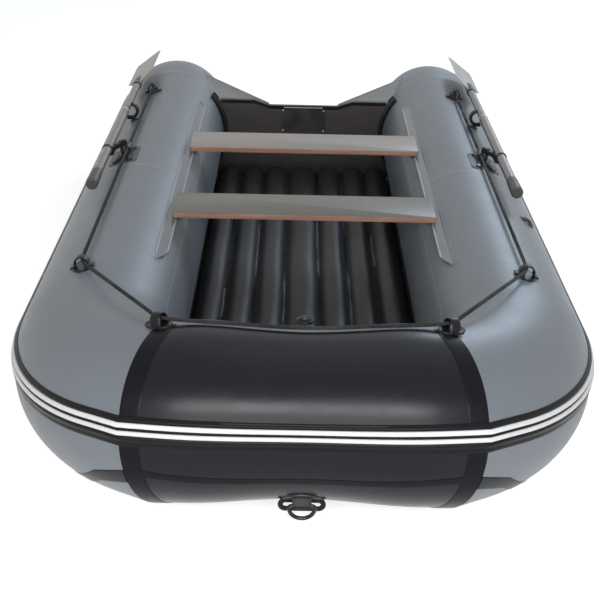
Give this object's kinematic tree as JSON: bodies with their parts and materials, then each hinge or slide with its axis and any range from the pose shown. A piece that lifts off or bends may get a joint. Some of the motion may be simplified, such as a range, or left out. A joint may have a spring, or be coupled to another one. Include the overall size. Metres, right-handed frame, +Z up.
{
  "type": "inflatable boat",
  "caption": "Inflatable boat with a U-shaped ring of air tubes, ribbed air floor, plywood transom, sliding benches, oars in swivelling locks, lifeline and towing ring.",
  "frame": {"origin": "on the ground under the middle of the boat's overall box", "axes": "+X to port, +Y towards the stern, +Z up"},
  "size_m": [1.6604, 3.1461, 0.5777],
  "materials": {
    "tube_grey": "satin rubber-coated cloth",
    "bow_black": "satin rubber-coated cloth",
    "strake_rubber": "satin",
    "stripe_white": "satin",
    "tape_black": "satin",
    "bottom_black": "satin",
    "floor_charcoal": "satin",
    "transom_board": "painted plywood",
    "holder_rubber": "satin",
    "motor_plate": "moulded",
    "web_grey": "satin rubber-coated cloth",
    "bench_board": "laminated plywood",
    "rail_grey": "satin",
    "fitting_black": "moulded",
    "ring_black": "black coated",
    "rope_black": "braided",
    "oar_tube": "satin",
    "oar_blade_grey": "moulded",
    "grip_rubber": "moulded"
  },
  "bodies": {
    "hull": {"bow_tube": "bow_black", "port_bow_corner": "tube_grey", "starboard_bow_corner": "tube_grey", "port_side_tube": "tube_grey", "starboard_side_tube": "tube_grey", "port_stern_cone": "tube_grey", "starboard_stern_cone": "tube_grey", "rubbing_strake": "strake_rubber", "strake_stripes": "stripe_white", "bottom_seam_tapes": "tape_black", "hull_bottom": "bottom_black", "air_floor": "floor_charcoal", "transom": "transom_board", "port_transom_holder": "holder_rubber", "starboard_transom_holder": "holder_rubber", "motor_pad": "motor_plate", "outer_motor_plate": "motor_plate", "port_transom_web": "web_grey", "starboard_transom_web": "web_grey", "drain_plugs": "fitting_black", "port_bench_rail": "rail_grey", "starboard_bench_rail": "rail_grey", "port_oarlock_base": "fitting_black", "starboard_oarlock_base": "fitting_black", "port_oar_clip": "fitting_black", "starboard_oar_clip": "fitting_black", "rope_holders": "fitting_black", "lifeline": "rope_black", "tow_eye": "fitting_black", "air_valves": "fitting_black", "floor_valve": "fitting_black"},
    "front_bench": {"front_bench": "bench_board", "front_bench_sliders": "rail_grey"},
    "rear_bench": {"rear_bench": "bench_board", "rear_bench_sliders": "rail_grey"},
    "port_oar": {"port_oar_grip": "grip_rubber", "port_oar_sleeve": "oar_tube", "port_oar_shaft": "oar_tube", "port_oar_blade": "oar_blade_grey", "port_oar_lock": "fitting_black"},
    "starboard_oar": {"starboard_oar_grip": "grip_rubber", "starboard_oar_sleeve": "oar_tube", "starboard_oar_shaft": "oar_tube", "starboard_oar_blade": "oar_blade_grey", "starboard_oar_lock": "fitting_black"},
    "tow_ring": {"tow_ring": "ring_black"}
  },
  "joints": [
    {"name": "front_bench_slide", "type": "slide", "parent": "hull", "child": "front_bench", "axis": [0, 1, 0], "range_m": [-0.31, 0.22]},
    {"name": "rear_bench_slide", "type": "slide", "parent": "hull", "child": "rear_bench", "axis": [0, 1, 0], "range_m": [-0.22, 0.48]},
    {"name": "port_oar_swing", "type": "hinge", "parent": "hull", "child": "port_oar", "pos_m": [0.65964, 0.119, 0.52245], "axis": [-0.2656, 0, -0.9641], "range_deg": [0, 100]},
    {"name": "starboard_oar_swing", "type": "hinge", "parent": "hull", "child": "starboard_oar", "pos_m": [-0.65964, 0.119, 0.52245], "axis": [-0.2656, 0, 0.9641], "range_deg": [0, 100]},
    {"name": "tow_ring_swing", "type": "hinge", "parent": "hull", "child": "tow_ring", "pos_m": [0, -1.51391, 0.15166], "axis": [-1, 0, 0], "range_deg": [-5, 100]}
  ]
}
